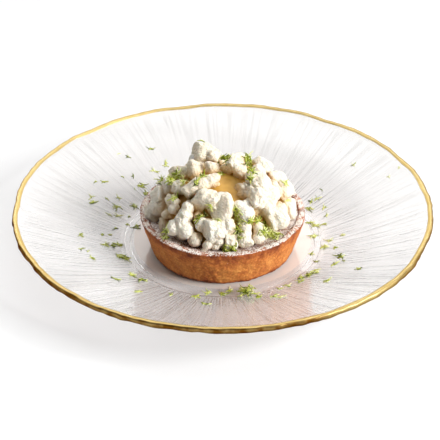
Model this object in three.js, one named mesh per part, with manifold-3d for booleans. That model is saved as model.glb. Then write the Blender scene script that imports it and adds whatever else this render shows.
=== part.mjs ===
// A round tart on its plate: a shortcrust case baked with almond filling, heaped with broken
// meringue over pale cream and strewn with grated lime zest. The plate is clear glass with a
// ribbed flange and a wavy rim. Units are millimetres and +Z is up. The origin is the middle of
// the plate's foot, on the table, and the front is towards -Y.

import * as THREE from "three";
import { mergeVertices } from "three/addons/utils/BufferGeometryUtils.js";
import Module from "manifold-3d";

const wasm = await Module();
wasm.setup();

// Air kept between neighbouring pieces.
const GAP = 0.3;

// The plate.
const PLATE_RADIUS = 105;
const PLATE_HEIGHT = 26;
const WELL_RADIUS = 51;
const WELL_TOP = 4;
const FOOT_OUTER_RADIUS = 50.2;
const FOOT_INNER_RADIUS = 47.5;
const FOOT_DEPTH = 1;
const FLANGE_GLASS = 3;
const FLANGE_SWEEP = 1.15; // 1 is a straight cone, and more curls the rim up
const PLATE_SPOKES = 96;
const FLANGE_STEPS = 3;
const RIB_DEPTH = 0.8;
const RIM_WAVE = 0.7;
const RIM_LIFT = 0.4;

// The tart's case and its filling.
const TART_FORWARD = 6; // from the plate's middle towards the front
const TART_HEIGHT = 20;
const TART_RIM_RADIUS = 41.5;
const TART_BASE_RADIUS = 35.8;
const TART_SEGMENTS = 60;
const CRUST_WALL = 3.6;
const CRUST_FLOOR = 3.2;
const CRUST_ROUND = 0.9;
const CRUST_WAVE = 0.3;
const FILLING_DROP = 1.5; // from the rim down to the filling
const FILLING_DIP = 0.5;

// The heap. The lumps' middles lie on a half ellipsoid, the mound, and the cream is a smaller one.
const MOUND_RADIUS = 33;
const MOUND_HEIGHT = 24.5;
const MOUND_SIZE = new THREE.Vector3(MOUND_RADIUS, MOUND_RADIUS, MOUND_HEIGHT);
const CREAM_SHARE = 0.9;
const CREAM_SEGMENTS = 32;
const CREAM_STEPS = 6;
const LUMP_DEPTH_SHARE = 0.85; // depth into the mound, as a share of the mean of width and height
const LUMP_LOBES = 4;
const LUMP_BREAKS = 2;
const LUMP_PLAIN_BELOW = 10;

// The lumps that face the front: degrees round the mound from +X, degrees up it, width, height,
// degrees turned about the outward axis, and distance from the mound's middle as a share.
const FRONT_LUMPS = [
  [188, 4, 10, 8, 0, 1.08],
  [212, 6, 9, 9, 0, 0.98],
  [246, 8, 8, 8],
  [261, 9, 12, 9, 15],
  [276, 11, 8, 10],
  [290, 15, 8, 13],
  [302, 12, 7, 11],
  [327, 18, 13, 14, 30],
  [356, 13, 9, 14],
  [12, 21, 10, 12],
  [165, 22, 9, 10],
  [189, 18, 11, 14, -15],
  [181, 37, 9, 9],
  [213, 32, 6, 8],
  [232, 24, 13, 19, -25],
  [249, 25, 7, 7],
  [263, 23, 12, 10],
  [276, 27, 7, 10],
  [293, 38, 11, 12, 30],
  [24, 30, 11, 15],
  [150, 35, 10, 9],
  [166, 65, 9, 10],
  [168, 82, 8, 7],
  [228, 60, 20, 10, 40],
  [134, 65, 11, 12, 0, 1.17],
  [138, 58, 12, 11],
  [110, 69, 9, 9, 0, 1.08],
  [12, 80, 14, 11],
  [257, 48, 16, 9, 10],
  [274, 45, 11, 14, -20],
  [324, 48, 20, 21, 30],
  [34, 44, 13, 14],
];

// More lumps fill what is left of the mound, at places spread evenly over it by the golden angle,
// each as large as its gap allows. They lie a little deeper than the others.
const FILL_TRIES = 160;
const FILL_LEAST = 6.5;
const FILL_MOST = 12;
const FILL_REACH = 0.95;
const FILL_CLOSENESS = 0.86; // distance between middles, as a share of the mean size
const GOLDEN_ANGLE = 180 * (3 - Math.sqrt(5));

// Where the cream is left showing: degrees round the mound, degrees up it, and radius.
const CREAM_GAPS = [
  [285, 64, 8],
  [258, 36, 4],
  [307, 25, 3],
];

// Zest: a tuft is a place and the number of shreds that make it.
const ZEST_SHORT = 2.4;
const ZEST_LONG = 5.5;
const ZEST_WIDTH = 1;
const ZEST_THICK = 0.6;
const ZEST_CURL = 0.25; // sideways bow, as a share of the length
const TUFT_SPREAD = 3.2;
const SHREDS_PER_SOLID = 6; // a tuft has one solid shred for each so many, the rest being finer

// Tufts on the plate: degrees round it, distance from its middle, and shreds.
const PLATE_TUFTS = [
  [119, 81, 3],
  [123, 67, 3],
  [131, 82, 3],
  [136, 59, 6],
  [148, 74, 2],
  [149, 53, 6],
  [160, 60, 5],
  [163, 71, 3],
  [166, 50, 4],
  [183, 58, 3],
  [188, 72, 4],
  [192, 58, 8],
  [202, 53, 8],
  [204, 70, 4],
  [221, 58, 4],
  [227, 54, 4],
  [235, 68, 2],
  [256, 54, 3],
  [262, 62, 4],
  [272, 48, 5],
  [284, 50, 12],
  [293, 60, 6],
  [317, 53, 8],
  [318, 69, 3],
  [333, 62, 7],
  [341, 50, 4],
  [347, 56, 7],
  [357, 60, 4],
  [13, 49, 6],
  [30, 58, 6],
  [38, 86, 2],
];

// Tufts on the heap: degrees round it, degrees up it, and shreds.
const HEAP_TUFTS = [
  [186, 53, 12],
  [213, 41, 6],
  [227, 63, 6],
  [70, 85, 8],
  [14, 71, 10],
  [335, 65, 6],
  [285, 40, 8],
  [285, 29, 8],
  [281, 18, 8],
  [276, 5, 5],
  [310, 12, 9],
  [221, 8, 5],
  [256, 33, 5],
  [300, 27, 6],
  [5, 33, 4],
  [344, 26, 3],
  [90, 40, 6],
  [120, 25, 5],
  [55, 22, 5],
];

// A row of numbers from 0 to 1 that is the same on every run.
function seeded(seed) {
  const multiplier = 16807;
  const modulus = 2147483647;
  let state = (seed * 7919 + 104729) % modulus;
  return () => {
    state = (state * multiplier) % modulus;
    return state / modulus;
  };
}

function between(random, low, high) {
  return low + (high - low) * random();
}

function randomDirection(random) {
  const rise = between(random, -1, 1);
  const turn = between(random, 0, 2 * Math.PI);
  const flat = Math.sqrt(1 - rise * rise);
  return new THREE.Vector3(flat * Math.cos(turn), flat * Math.sin(turn), rise);
}

// The same surface with only shared positions left, ready to be reshaped or made a solid.
function bare(geometry) {
  geometry.deleteAttribute("normal");
  geometry.deleteAttribute("uv");
  return mergeVertices(geometry);
}

// Moves every vertex by a function that changes the point it is given.
function reshape(geometry, move) {
  const positions = geometry.getAttribute("position");
  const point = new THREE.Vector3();
  for (let i = 0; i < positions.count; i += 1) {
    point.fromBufferAttribute(positions, i);
    move(point);
    positions.setXYZ(i, point.x, point.y, point.z);
  }
  return geometry;
}

// Turns a profile of [radius, height] pairs about Z.
function turned(profile, segments) {
  const points = profile.map(([radius, height]) => new THREE.Vector2(radius, height));
  const geometry = new THREE.LatheGeometry(points, segments);
  return bare(geometry.rotateX(Math.PI / 2));
}

function solidOf(geometry) {
  const mesh = new wasm.Mesh({
    numProp: 3,
    vertProperties: new Float32Array(geometry.getAttribute("position").array),
    triVerts: new Uint32Array(geometry.index.array),
  });
  return new wasm.Manifold(mesh);
}

function geometryOf(solid) {
  const mesh = solid.getMesh();
  const geometry = new THREE.BufferGeometry();
  geometry.setAttribute("position", new THREE.BufferAttribute(mesh.vertProperties, 3));
  geometry.setIndex(new THREE.BufferAttribute(mesh.triVerts, 1));
  return geometry;
}

// The largest body of a solid, without loose scraps and with any sealed hollow filled.
function oneBody(solid) {
  const bodies = solid.decompose();
  return bodies.reduce((largest, body) => (body.volume() > largest.volume() ? body : largest));
}

function named(name, geometry, finish) {
  const mesh = new THREE.Mesh(geometry, new THREE.MeshStandardMaterial(finish));
  mesh.geometry.computeVertexNormals();
  mesh.name = name;
  return mesh;
}

// Height of the flange's upper face.
function flangeTop(radius) {
  const share = THREE.MathUtils.clamp((radius - WELL_RADIUS) / (PLATE_RADIUS - WELL_RADIUS), 0, 1);
  return WELL_TOP + (PLATE_HEIGHT - WELL_TOP) * share ** FLANGE_SWEEP;
}

// Uneven edge of the hand-finished rim, from -1 to 1 round the plate.
function rimWave(angle) {
  const waves = [
    [5, 0.4],
    [9, 2.1],
    [14, 4.4],
    [23, 1.3],
  ];
  return waves.reduce((sum, [count, start]) => sum + Math.sin(count * angle + start), 0) / waves.length;
}

function plateProfile() {
  const steps = Array.from({ length: FLANGE_STEPS + 1 }, (_, i) => i / FLANGE_STEPS);
  const edge = PLATE_RADIUS - FLANGE_GLASS / 2;
  const flange = steps.map((share) => THREE.MathUtils.lerp(WELL_RADIUS + FLANGE_GLASS / 2, edge, share));
  const under = flange.map((radius) => [radius, flangeTop(radius) - FLANGE_GLASS]);
  const over = flange.map((radius) => [radius, flangeTop(radius)]).reverse();
  return [
    [0, FOOT_DEPTH],
    [FOOT_INNER_RADIUS - FOOT_DEPTH, FOOT_DEPTH],
    [FOOT_INNER_RADIUS, 0],
    [FOOT_OUTER_RADIUS, 0],
    ...under,
    [PLATE_RADIUS, PLATE_HEIGHT - FLANGE_GLASS * 0.75],
    [PLATE_RADIUS, PLATE_HEIGHT - FLANGE_GLASS * 0.25],
    ...over,
    [WELL_RADIUS, WELL_TOP],
    [0, WELL_TOP],
  ];
}

function plateGeometry() {
  const random = seeded(1);
  const ribs = Array.from({ length: PLATE_SPOKES }, () => random() * RIB_DEPTH);
  return reshape(turned(plateProfile(), PLATE_SPOKES), (point) => {
    const radius = Math.hypot(point.x, point.y);
    const angle = Math.atan2(point.y, point.x);
    const share = (radius - WELL_RADIUS) / (PLATE_RADIUS - WELL_RADIUS);
    if (share <= 0) return;
    const wave = rimWave(angle) * share ** 3;
    const grown = 1 + (RIM_WAVE * wave) / radius;
    point.set(point.x * grown, point.y * grown, point.z + RIM_LIFT * wave);
    const isUnder = point.z < flangeTop(radius) - FLANGE_GLASS / 2;
    const spoke = Math.round((angle / (2 * Math.PI)) * PLATE_SPOKES + PLATE_SPOKES) % PLATE_SPOKES;
    if (isUnder) point.z += ribs[spoke] * Math.max(0, Math.sin(Math.PI * share));
  });
}

// One bowed shred lying on the point it is given, flat against the surface there.
function shred(random, point, normal) {
  const length = between(random, ZEST_SHORT, ZEST_LONG);
  const bow = between(random, -ZEST_CURL, ZEST_CURL);
  const turn = between(random, 0, Math.PI);
  const strip = bare(new THREE.BoxGeometry(length, ZEST_WIDTH, ZEST_THICK, 2, 1, 1));
  reshape(strip, (p) => {
    p.y += (4 * bow * p.x * p.x) / length;
  });
  const lie = new THREE.Quaternion().setFromUnitVectors(new THREE.Vector3(0, 0, 1), normal);
  return strip.rotateZ(turn).applyQuaternion(lie).translate(point.x, point.y, point.z);
}

// The shreds of the plate's tufts, spread about each place and laid on the well or the flange.
function plateZest() {
  return PLATE_TUFTS.flatMap(([around, distance, count], tuft) => {
    const random = seeded(500 + tuft);
    return Array.from({ length: Math.ceil(count / SHREDS_PER_SOLID) }, () => {
      const radius = distance + between(random, -TUFT_SPREAD, TUFT_SPREAD);
      const aside = between(random, -TUFT_SPREAD, TUFT_SPREAD) / radius;
      const angle = THREE.MathUtils.degToRad(around) + aside;
      const slope = flangeTop(radius + 1) - flangeTop(radius);
      const out = new THREE.Vector3(Math.cos(angle), Math.sin(angle), 0);
      const point = out.clone().multiplyScalar(radius).setZ(flangeTop(radius));
      const normal = out.clone().multiplyScalar(-slope).setZ(1).normalize();
      return shred(random, point, normal);
    });
  });
}

function plate() {
  const glass = plateZest().reduce((solid, strip) => solid.add(solidOf(strip)), solidOf(plateGeometry()));
  const finish = { color: 0xeef1ef, roughness: 0.08, metalness: 0, transparent: true, opacity: 0.35 };
  return named("plate", geometryOf(oneBody(glass)), finish);
}

// Radius of the case's outer wall at a height above its base.
function wallRadius(height) {
  return THREE.MathUtils.lerp(TART_BASE_RADIUS, TART_RIM_RADIUS, height / TART_HEIGHT);
}

// Small unevenness of the hand-lined case, shared by the filling that was baked in it.
function unevenCase(geometry) {
  return reshape(geometry, (point) => {
    const angle = Math.atan2(point.y, point.x);
    const radius = Math.hypot(point.x, point.y);
    const wave = Math.sin(3 * angle + 0.6) + Math.sin(7 * angle + 2.2) + Math.sin(13 * angle);
    const grown = 1 + (CRUST_WAVE * wave * (point.z / TART_HEIGHT)) / (3 * TART_RIM_RADIUS);
    if (radius > 0) point.set(point.x * grown, point.y * grown, point.z);
  });
}

function crust() {
  const innerRadius = (height) => wallRadius(height) - CRUST_WALL;
  const profile = [
    [0, 0],
    [TART_BASE_RADIUS - CRUST_ROUND, 0],
    [wallRadius(CRUST_ROUND), CRUST_ROUND],
    [wallRadius(TART_HEIGHT / 2), TART_HEIGHT / 2],
    [wallRadius(TART_HEIGHT - CRUST_ROUND), TART_HEIGHT - CRUST_ROUND],
    [TART_RIM_RADIUS - CRUST_ROUND, TART_HEIGHT],
    [innerRadius(TART_HEIGHT) + CRUST_ROUND, TART_HEIGHT],
    [innerRadius(TART_HEIGHT - CRUST_ROUND), TART_HEIGHT - CRUST_ROUND],
    [innerRadius(CRUST_FLOOR), CRUST_FLOOR],
    [0, CRUST_FLOOR],
  ];
  const finish = { color: 0xb9712f, roughness: 0.85, metalness: 0 };
  return named("crust", unevenCase(turned(profile, TART_SEGMENTS)), finish);
}

function filling() {
  const top = TART_HEIGHT - FILLING_DROP;
  const bottom = CRUST_FLOOR + GAP;
  const edge = (height) => wallRadius(height) - CRUST_WALL - GAP;
  const profile = [
    [0, bottom],
    [edge(bottom), bottom],
    [edge(top - FILLING_DIP), top - FILLING_DIP],
    [edge(top) - 1.5, top],
    [edge(top) - 5, top - FILLING_DIP],
    [0, top - FILLING_DIP],
  ];
  const finish = { color: 0x8a5527, roughness: 0.9, metalness: 0 };
  return named("filling", unevenCase(turned(profile, TART_SEGMENTS)), finish);
}

// Where a ray from the middle leaves a ball that holds the middle.
function reachOfBall(direction, centre, radius) {
  const along = direction.dot(centre);
  return along + Math.sqrt(along * along + radius * radius - centre.lengthSq());
}

// One broken lump in a box of 1 by 1 by 1: a few balls run together, with flat broken faces. A
// small one has fewer facets.
function lumpGeometry(size, seed) {
  const random = seeded(seed);
  const lobes = Array.from({ length: LUMP_LOBES }, () => ({
    centre: randomDirection(random).multiplyScalar(between(random, 0.3, 0.5)),
    radius: between(random, 0.55, 0.75),
  }));
  const breaks = Array.from({ length: LUMP_BREAKS }, () => ({
    normal: randomDirection(random),
    depth: between(random, 0.6, 0.8),
  }));
  const isPlain = size < LUMP_PLAIN_BELOW;
  const ball = isPlain ? new THREE.DodecahedronGeometry(1) : new THREE.IcosahedronGeometry(1, 1);
  const lump = reshape(bare(ball), (point) => {
    const direction = point.clone().normalize();
    const reaches = lobes.map(({ centre, radius }) => reachOfBall(direction, centre, radius));
    const cuts = breaks.map(({ normal, depth }) => depth / Math.max(direction.dot(normal), 1e-3));
    point.copy(direction).multiplyScalar(Math.min(Math.max(...reaches), ...cuts));
  });
  lump.center();
  const half = lump.boundingBox.max;
  return lump.scale(0.5 / half.x, 0.5 / half.y, 0.5 / half.z);
}

// The direction out of the mound's middle, in shares of its three half sizes.
function moundDirection(around, up) {
  const angle = THREE.MathUtils.degToRad(around);
  const rise = THREE.MathUtils.degToRad(up);
  const flat = Math.cos(rise);
  return new THREE.Vector3(flat * Math.cos(angle), flat * Math.sin(angle), Math.sin(rise));
}

// A lump in its place: its width lies level, its height up the mound and its depth into it.
function placedLump([around, up, width, height, turn = 0, reach = 1], seed) {
  const share = moundDirection(around, up).multiplyScalar(reach);
  const middle = share.clone().multiply(MOUND_SIZE);
  const inward = share.clone().divide(MOUND_SIZE).normalize().negate();
  const level = new THREE.Vector3(-share.y, share.x, 0).normalize();
  const uphill = new THREE.Vector3().crossVectors(level, inward);
  const size = (width + height) / 2;
  const place = new THREE.Matrix4().makeBasis(level, inward, uphill).setPosition(middle);
  const lump = lumpGeometry(size, seed).scale(width, LUMP_DEPTH_SHARE * size, height);
  return lump.rotateY(-THREE.MathUtils.degToRad(turn)).applyMatrix4(place);
}

// The fill lumps' rows, each kept only where there is room beside the lumps before it and the gaps.
function fillLumps() {
  const random = seeded(7);
  const place = ([around, up, , , , reach = 1]) =>
    moundDirection(around, up).multiplyScalar(reach).multiply(MOUND_SIZE);
  const taken = FRONT_LUMPS.map((row) => ({ middle: place(row), size: (row[2] + row[3]) / 2 }));
  for (const [around, up, radius] of CREAM_GAPS) {
    taken.push({ middle: place([around, up]), size: 2 * radius });
  }
  const rows = [];
  for (let i = 0; i < FILL_TRIES; i += 1) {
    const around = (i * GOLDEN_ANGLE) % 360;
    const up = THREE.MathUtils.radToDeg(Math.asin((i + 0.5) / FILL_TRIES));
    const middle = place([around, up, 0, 0, 0, FILL_REACH]);
    const rooms = taken.map((other) => (2 * middle.distanceTo(other.middle)) / FILL_CLOSENESS - other.size);
    const size = Math.min(FILL_MOST * between(random, 0.8, 1), ...rooms);
    if (size < FILL_LEAST) continue;
    const stretch = between(random, 0.85, 1.15);
    rows.push([around, up, size * stretch, size / stretch, between(random, -40, 40), FILL_REACH]);
    taken.push({ middle, size });
  }
  return rows;
}

function creamGeometry() {
  const arc = Array.from({ length: CREAM_STEPS + 1 }, (_, i) => {
    const rise = (i / CREAM_STEPS) * (Math.PI / 2);
    const radius = i === CREAM_STEPS ? 0 : MOUND_RADIUS * CREAM_SHARE * Math.cos(rise);
    return [radius, MOUND_HEIGHT * CREAM_SHARE * Math.sin(rise)];
  });
  return turned([[0, 0], ...arc], CREAM_SEGMENTS);
}

// The space that the heap may fill, in its own frame: clear of the filling and of the case's rim.
function heapRoom(base) {
  const rim = TART_HEIGHT + GAP - base;
  const far = 2 * TART_RIM_RADIUS;
  const mouth = wallRadius(base) - CRUST_WALL - CRUST_WAVE - GAP;
  const profile = [
    [0, 0],
    [mouth, 0],
    [mouth, rim],
    [far, rim],
    [far, far],
    [0, far],
  ];
  return solidOf(turned(profile, TART_SEGMENTS));
}

// The shreds of the heap's tufts, dropped on it towards its middle.
function heapZest(heapGeometry) {
  const target = new THREE.Mesh(heapGeometry, new THREE.MeshBasicMaterial());
  const far = 2 * TART_RIM_RADIUS;
  return HEAP_TUFTS.flatMap(([around, up, count], tuft) => {
    const random = seeded(900 + tuft);
    return Array.from({ length: Math.ceil(count / SHREDS_PER_SOLID) }, () => {
      const outward = moundDirection(around, up).multiplyScalar(far);
      outward.add(randomDirection(random).multiplyScalar(TUFT_SPREAD));
      outward.z = Math.max(outward.z, TART_HEIGHT / 2);
      const aim = outward.clone().negate().normalize();
      const [hit] = new THREE.Raycaster(outward, aim).intersectObject(target);
      return shred(random, hit.point, hit.face.normal);
    });
  });
}

function heap() {
  const base = TART_HEIGHT - FILLING_DROP + GAP;
  const room = heapRoom(base);
  const lumps = [...FRONT_LUMPS, ...fillLumps()].map((row, i) => solidOf(placedLump(row, 100 + i)));
  const whole = lumps.reduce((solid, lump) => solid.add(lump), solidOf(creamGeometry()));
  const bareHeap = oneBody(whole.intersect(room));
  const strips = heapZest(geometryOf(bareHeap)).map((strip) => solidOf(strip));
  const strewn = strips.reduce((solid, strip) => solid.add(strip), bareHeap).intersect(room);
  const finish = { color: 0xf6f0e2, roughness: 0.8, metalness: 0 };
  const mesh = named("heap", geometryOf(oneBody(strewn)), finish);
  mesh.position.z = base;
  return mesh;
}

const tart = new THREE.Group();
tart.add(crust(), filling(), heap());
tart.position.set(0, -TART_FORWARD, WELL_TOP + GAP);

const tartOnPlate = new THREE.Group();
tartOnPlate.add(plate(), tart);

export default tartOnPlate;
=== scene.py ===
"""A bourdaloue tart on its plate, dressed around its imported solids.

A shortcrust case with browned almond filling holds a mound of pastry cream under broken meringue
and grated lime zest. The plate is clear pressed glass, ribbed underneath, with a fired gilt rim.
Lengths are millimetres until a piece is finished. The solids' main sizes, places and seeds are
repeated here, so that each piece fills its solid.
"""

import math
from collections import namedtuple

import bmesh
import bpy
from mathutils import Matrix, Vector, noise
from mathutils.bvhtree import BVHTree


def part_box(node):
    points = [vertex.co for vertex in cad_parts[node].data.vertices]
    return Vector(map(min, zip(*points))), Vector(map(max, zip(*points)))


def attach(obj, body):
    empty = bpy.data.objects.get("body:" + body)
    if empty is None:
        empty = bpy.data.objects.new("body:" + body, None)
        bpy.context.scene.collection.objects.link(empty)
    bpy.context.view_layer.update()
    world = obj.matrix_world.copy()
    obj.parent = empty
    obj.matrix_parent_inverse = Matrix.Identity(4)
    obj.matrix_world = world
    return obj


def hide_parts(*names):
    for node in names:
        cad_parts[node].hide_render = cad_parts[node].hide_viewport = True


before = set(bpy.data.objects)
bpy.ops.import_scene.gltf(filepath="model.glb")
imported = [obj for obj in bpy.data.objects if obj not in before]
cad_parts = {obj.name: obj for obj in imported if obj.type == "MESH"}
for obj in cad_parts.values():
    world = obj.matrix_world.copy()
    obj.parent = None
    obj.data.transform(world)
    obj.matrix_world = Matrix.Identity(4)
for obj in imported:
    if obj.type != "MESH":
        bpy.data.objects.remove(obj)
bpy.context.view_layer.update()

MM = 0.001
MERGE_GAP = 0.001


def node_box(node):
    """A solid's lowest and highest corners, in millimetres."""
    low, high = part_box(node)
    return low / MM, high / MM


# The plate.
PLATE_RADIUS = 105
PLATE_HEIGHT = 26
WELL_RADIUS = 51
WELL_TOP = 4
FOOT_OUTER_RADIUS = 50.2
FOOT_INNER_RADIUS = 47.5
FOOT_DEPTH = 1
FOOT_ROUND = 0.25
FLOOR_RADIUS = FOOT_INNER_RADIUS - FOOT_DEPTH - 1
FROST_RADIUS = 45.5
FLANGE_GLASS = 3
FLANGE_SWEEP = 1.15
EDGE_TOP = PLATE_HEIGHT - FLANGE_GLASS * 0.1
EDGE_BOTTOM = PLATE_HEIGHT - FLANGE_GLASS * 0.9
EDGE_ROUND = 1
FLANGE_EDGE = PLATE_RADIUS - FLANGE_GLASS / 2
RIM_WAVE = 0.7
RIM_LIFT = 0.4
RIM_WAVE_SWEEP = 3
RIM_WAVES = [(5, 0.4), (9, 2.1), (14, 4.4), (23, 1.3)]
PLATE_STEPS = 1500
ROW_GAP = 0.5
WELL_ROWS = 4
UNDER_ROWS = 21
OVER_ROWS = 10

# Its ribs and scallops. A pair is shares of the way up the flange between which they set in or end.
RIB_DEPTH = 0.16
RIB_CELLS = 42
RIB_SHARP = 6
RIB_RUN = 60
RIB_GROUP_CELLS = 14
RIB_MEAN = 0.75
RIB_VARIES = 0.4
RIBS_BEGIN = (0.03, 0.07)
RIBS_END = (0.97, 0.9)
RIBS_DEEPEN = (0.4, 0.15)
RIB_EXTRA = 2
SCALLOP_DEPTH = 0.5
SCALLOP_CELLS = 22
SCALLOP_HEIGHT = 4
SCALLOPS_BEGIN = (0.94, 1)
EDGE_DROP = 0.7
EDGE_CELLS = 15

# Its gilding, which wanders at its inner edge and, where it faces outward, is darkened in patches as a
# painted dark reflection.
GILT_WIDTH = 2.5
GILT_START = PLATE_RADIUS - GILT_WIDTH
GILT_THICK = 0.12
GILT_ROWS = 5
GILT_STEPS = PLATE_STEPS // 2
GILT_WANDER = 0.35
GILT_WANDER_RUN = 1
GILT_CELLS = 12
EDGE_SHADE_MEAN = 0.55
EDGE_SHADE_VARIES = 1.6
EDGE_SHADE_CELLS = 2
EDGE_SHADE_FACING = (0.2, 0.5)

# Where in the noise each pattern round the plate is taken from.
RIB_GROUP_NOISE = 20
SCALLOP_NOISE = 5
EDGE_NOISE = 70
GILT_NOISE = 40
EDGE_SHADE_NOISE = 155.5

# The tart's case and its filling, which stand where their solids do.
TART_FORWARD = 6
TART_BASE = node_box("crust")[0].z
TART_RIM = node_box("crust")[1].z
TART_HEIGHT = TART_RIM - TART_BASE
TART_RIM_RADIUS = 41.5
TART_BASE_RADIUS = 35.8
TART_STEPS = 480
WALL_ROWS = 44
INSIDE_ROWS = 16
RIM_CURVE_ROWS = 7
FOOT_CURVE_ROWS = 5
CRUST_WALL = 3.6
CRUST_FLOOR = 3.2
CRUST_ROUND = 1.5
CRUST_FOOT_FLAT = 4
CRUST_BUMPS = [(0.5, 8), (0.26, 2.2), (0.18, 1.1)]
BAKE_FROM = 0.6
# How high the painted shade at the case's foot reaches.
SHADED_FOOT = 2.5
CRUST_WAVE = 0.3
CRUST_WAVES = [(3, 0.6), (7, 2.2), (13, 0)]
FILLING_TOP = node_box("filling")[1].z
FILLING_DIP = 0.5
FILLING_LIP = 1.5
FILLING_SLOPE = 5
FILLING_FLAT = 20
FILLING_ROWS = 22
FILLING_TUCK = 0.7
FILLING_GAP = 0.3
FILLING_BUMPS = [(0.25, 5), (0.2, 1.8)]

# Icing sugar. Its grains are drawn coarser than real ones, which would be too fine to show.
GRAIN_SIZE = 0.6
GRAIN_WEIGHT = 2.5
PATCH_WEIGHT = 1.5
SUGAR_LEAST = 2.85
SUGAR_FULL = 3.15

# The heap. The lumps' middles lie on a half ellipsoid, the mound, and the cream is a smaller one.
HEAP_BASE = node_box("heap")[0].z
MOUND_SIZE = Vector((33, 33, 24.5))
MOUND_MIDDLE = Vector((0, -TART_FORWARD, HEAP_BASE))
HEAP_GAP = 0.4
RIM_CLEAR = 0.3
CREAM_SHARE = 0.9
CREAM_SEGMENTS = 96
CREAM_RINGS = 64
CREAM_BUMPS = [(0.9, 11), (0.25, 4)]

# A lump is balls run together, cut by flat breaks, with knobs and chips on it, all in half sizes of the
# lump. A pair is the least and the most of a draw, or where an effect begins and is full.
LUMP_SEED = 100
LUMP_CUTS = 4
FINE_LUMP = 8
LUMP_DEPTH_SHARE = 0.85
LUMP_SWELL = 1.02
LUMP_SINK = 0.4
JOIN_SHARP = 11
BREAK_SHARP = 60
LUMP_LOBES = 4
LOBE_REACH = (0.3, 0.5)
LOBE_RADIUS = (0.55, 0.75)
LUMP_BREAKS = 2
BREAK_DEPTH = (0.6, 0.8)
LUMP_KNOBS = 9
FORM_KNOBS = 2
KNOB_SINK = 0.1
KNOB_RADIUS = (0.15, 0.3)
LUMP_CHIPS = 7
FORM_CHIPS = 2
LUMP_CHIP_DEPTH = (0.64, 0.86)
FORM_CHIP_DEPTH = (0.82, 0.95)
FORM_ROUGH = 0.6
LARGE_ROUGH = 4
LARGE_LUMP = (14, 22)
LUMP_BUMPS = [(0.5, 3.6), (0.4, 1.7), (0.22, 0.8)]
CREASE_DEPTH = 0.35
CREASE_APART = 4.5
CREASE_WIDTH = 0.2
NOISE_STEP = 3.7
# The lumps' painted warm shade begins and is full at these distances from the mound's middle, in shares of
# its size.
DEEP_SHADE_DEPTH = (1.13, 0.88)
CRUMBS = 80
CRUMB_SEED = 300
CRUMB_CUTS = 3
CRUMB_PLACES_SEED = 11
CRUMB_SIZES = (3, 6.5)
CRUMB_STRAY = (-8, 8)
CRUMB_STRETCH = (0.75, 1.3)
CRUMB_TURN = (-90, 90)
CRUMB_REACH = (0.86, 0.96)

# Forms of the lumps that show best. Each has balls, as x, y, z and radius, and flat broken faces, as the
# way they face and their depth, in half sizes of the lump as the camera sees it: x right, y away and z up.
LUMP_FORMS = {
    "pear": ([
        (-0.45, 0, -0.55, 0.42), (0.35, -0.1, -0.5, 0.47), (0, 0, -0.25, 0.5), (0.08, 0, 0.25, 0.43),
        (0.12, 0, 0.64, 0.36),
    ], [(-0.95, -0.25, 0.3, 0.6)]),
    "roll": ([
        (-0.75, 0, -0.04, 0.38), (-0.45, 0, 0, 0.4), (-0.1, 0, 0.02, 0.38), (0.25, 0, 0.03, 0.36),
        (0.6, 0, 0.08, 0.33), (0.85, 0, 0.13, 0.26),
    ], [(-0.85, -0.4, -0.35, 0.85)]),
    "crag": ([
        (-0.45, 0, 0.35, 0.36), (0.3, 0, 0.5, 0.4), (0, -0.3, 0, 0.5), (0.5, 0, -0.1, 0.42),
        (-0.2, 0, -0.5, 0.38), (0, -0.1, 0.75, 0.28), (-0.6, 0, -0.05, 0.3), (0.35, -0.2, -0.6, 0.32),
        (-0.15, -0.5, -0.1, 0.3),
    ], [(-0.6, -0.7, 0.3, 0.66)]),
    "slab": ([(0, 0, 0.4, 0.52), (0.05, 0, -0.35, 0.55), (0.25, 0, 0, 0.55)],
             [(-0.62, -0.76, 0.05, 0.22), (0.9, -0.3, 0.1, 0.6), (-0.3, -0.5, 0.8, 0.62)]),
    "shard": ([
        (0, 0, -0.4, 0.55), (-0.05, 0, 0.3, 0.48), (0.35, -0.2, -0.35, 0.42), (0.25, 0, 0.35, 0.35),
        (-0.1, 0, 0.75, 0.25),
    ], [(-0.7, -0.65, 0.2, 0.4), (0.72, -0.6, 0.35, 0.42)]),
    "peak": ([
        (-0.1, 0, -0.25, 0.62), (-0.38, 0, 0.42, 0.42), (0.12, 0, 0.3, 0.45), (0.5, 0, -0.1, 0.45),
        (-0.6, 0, -0.4, 0.35),
    ], [(-0.8, -0.5, 0.2, 0.5), (0.35, -0.9, 0.3, 0.5)]),
    "block": ([
        (-0.35, 0, -0.35, 0.55), (0.35, 0, -0.35, 0.55), (-0.3, 0, 0.35, 0.55), (0.35, 0, 0.3, 0.55),
    ], [(-0.85, -0.5, -0.1, 0.55), (0.3, -0.95, 0.2, 0.52), (0.1, -0.3, 0.95, 0.62)]),
    "wedge": ([
        (-0.7, -0.1, -0.65, 0.22), (-0.35, 0, -0.25, 0.38), (0.1, 0, 0.2, 0.48), (0.5, 0, -0.1, 0.42),
        (0.2, 0, -0.5, 0.3),
    ], [(-0.3, -0.5, 0.8, 0.55)]),
    "stub": ([(-0.05, 0, -0.45, 0.5), (0.06, 0, 0.05, 0.4), (0, 0, 0.5, 0.44)], [(-0.85, -0.5, 0, 0.5)]),
    "bulb": ([(0, 0, -0.1, 0.7), (-0.25, 0, 0.3, 0.5), (0.35, 0, 0.1, 0.5)],
             [(-0.85, -0.5, 0, 0.55), (0.6, -0.65, 0.45, 0.6)]),
    "cap": ([
        (-0.45, 0, 0, 0.42), (0.35, 0, 0.1, 0.5), (0, 0, 0.35, 0.45), (0.65, 0, -0.35, 0.33),
        (0.3, -0.2, -0.5, 0.3),
    ], [(-0.5, -0.75, -0.45, 0.3)]),
}

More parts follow.
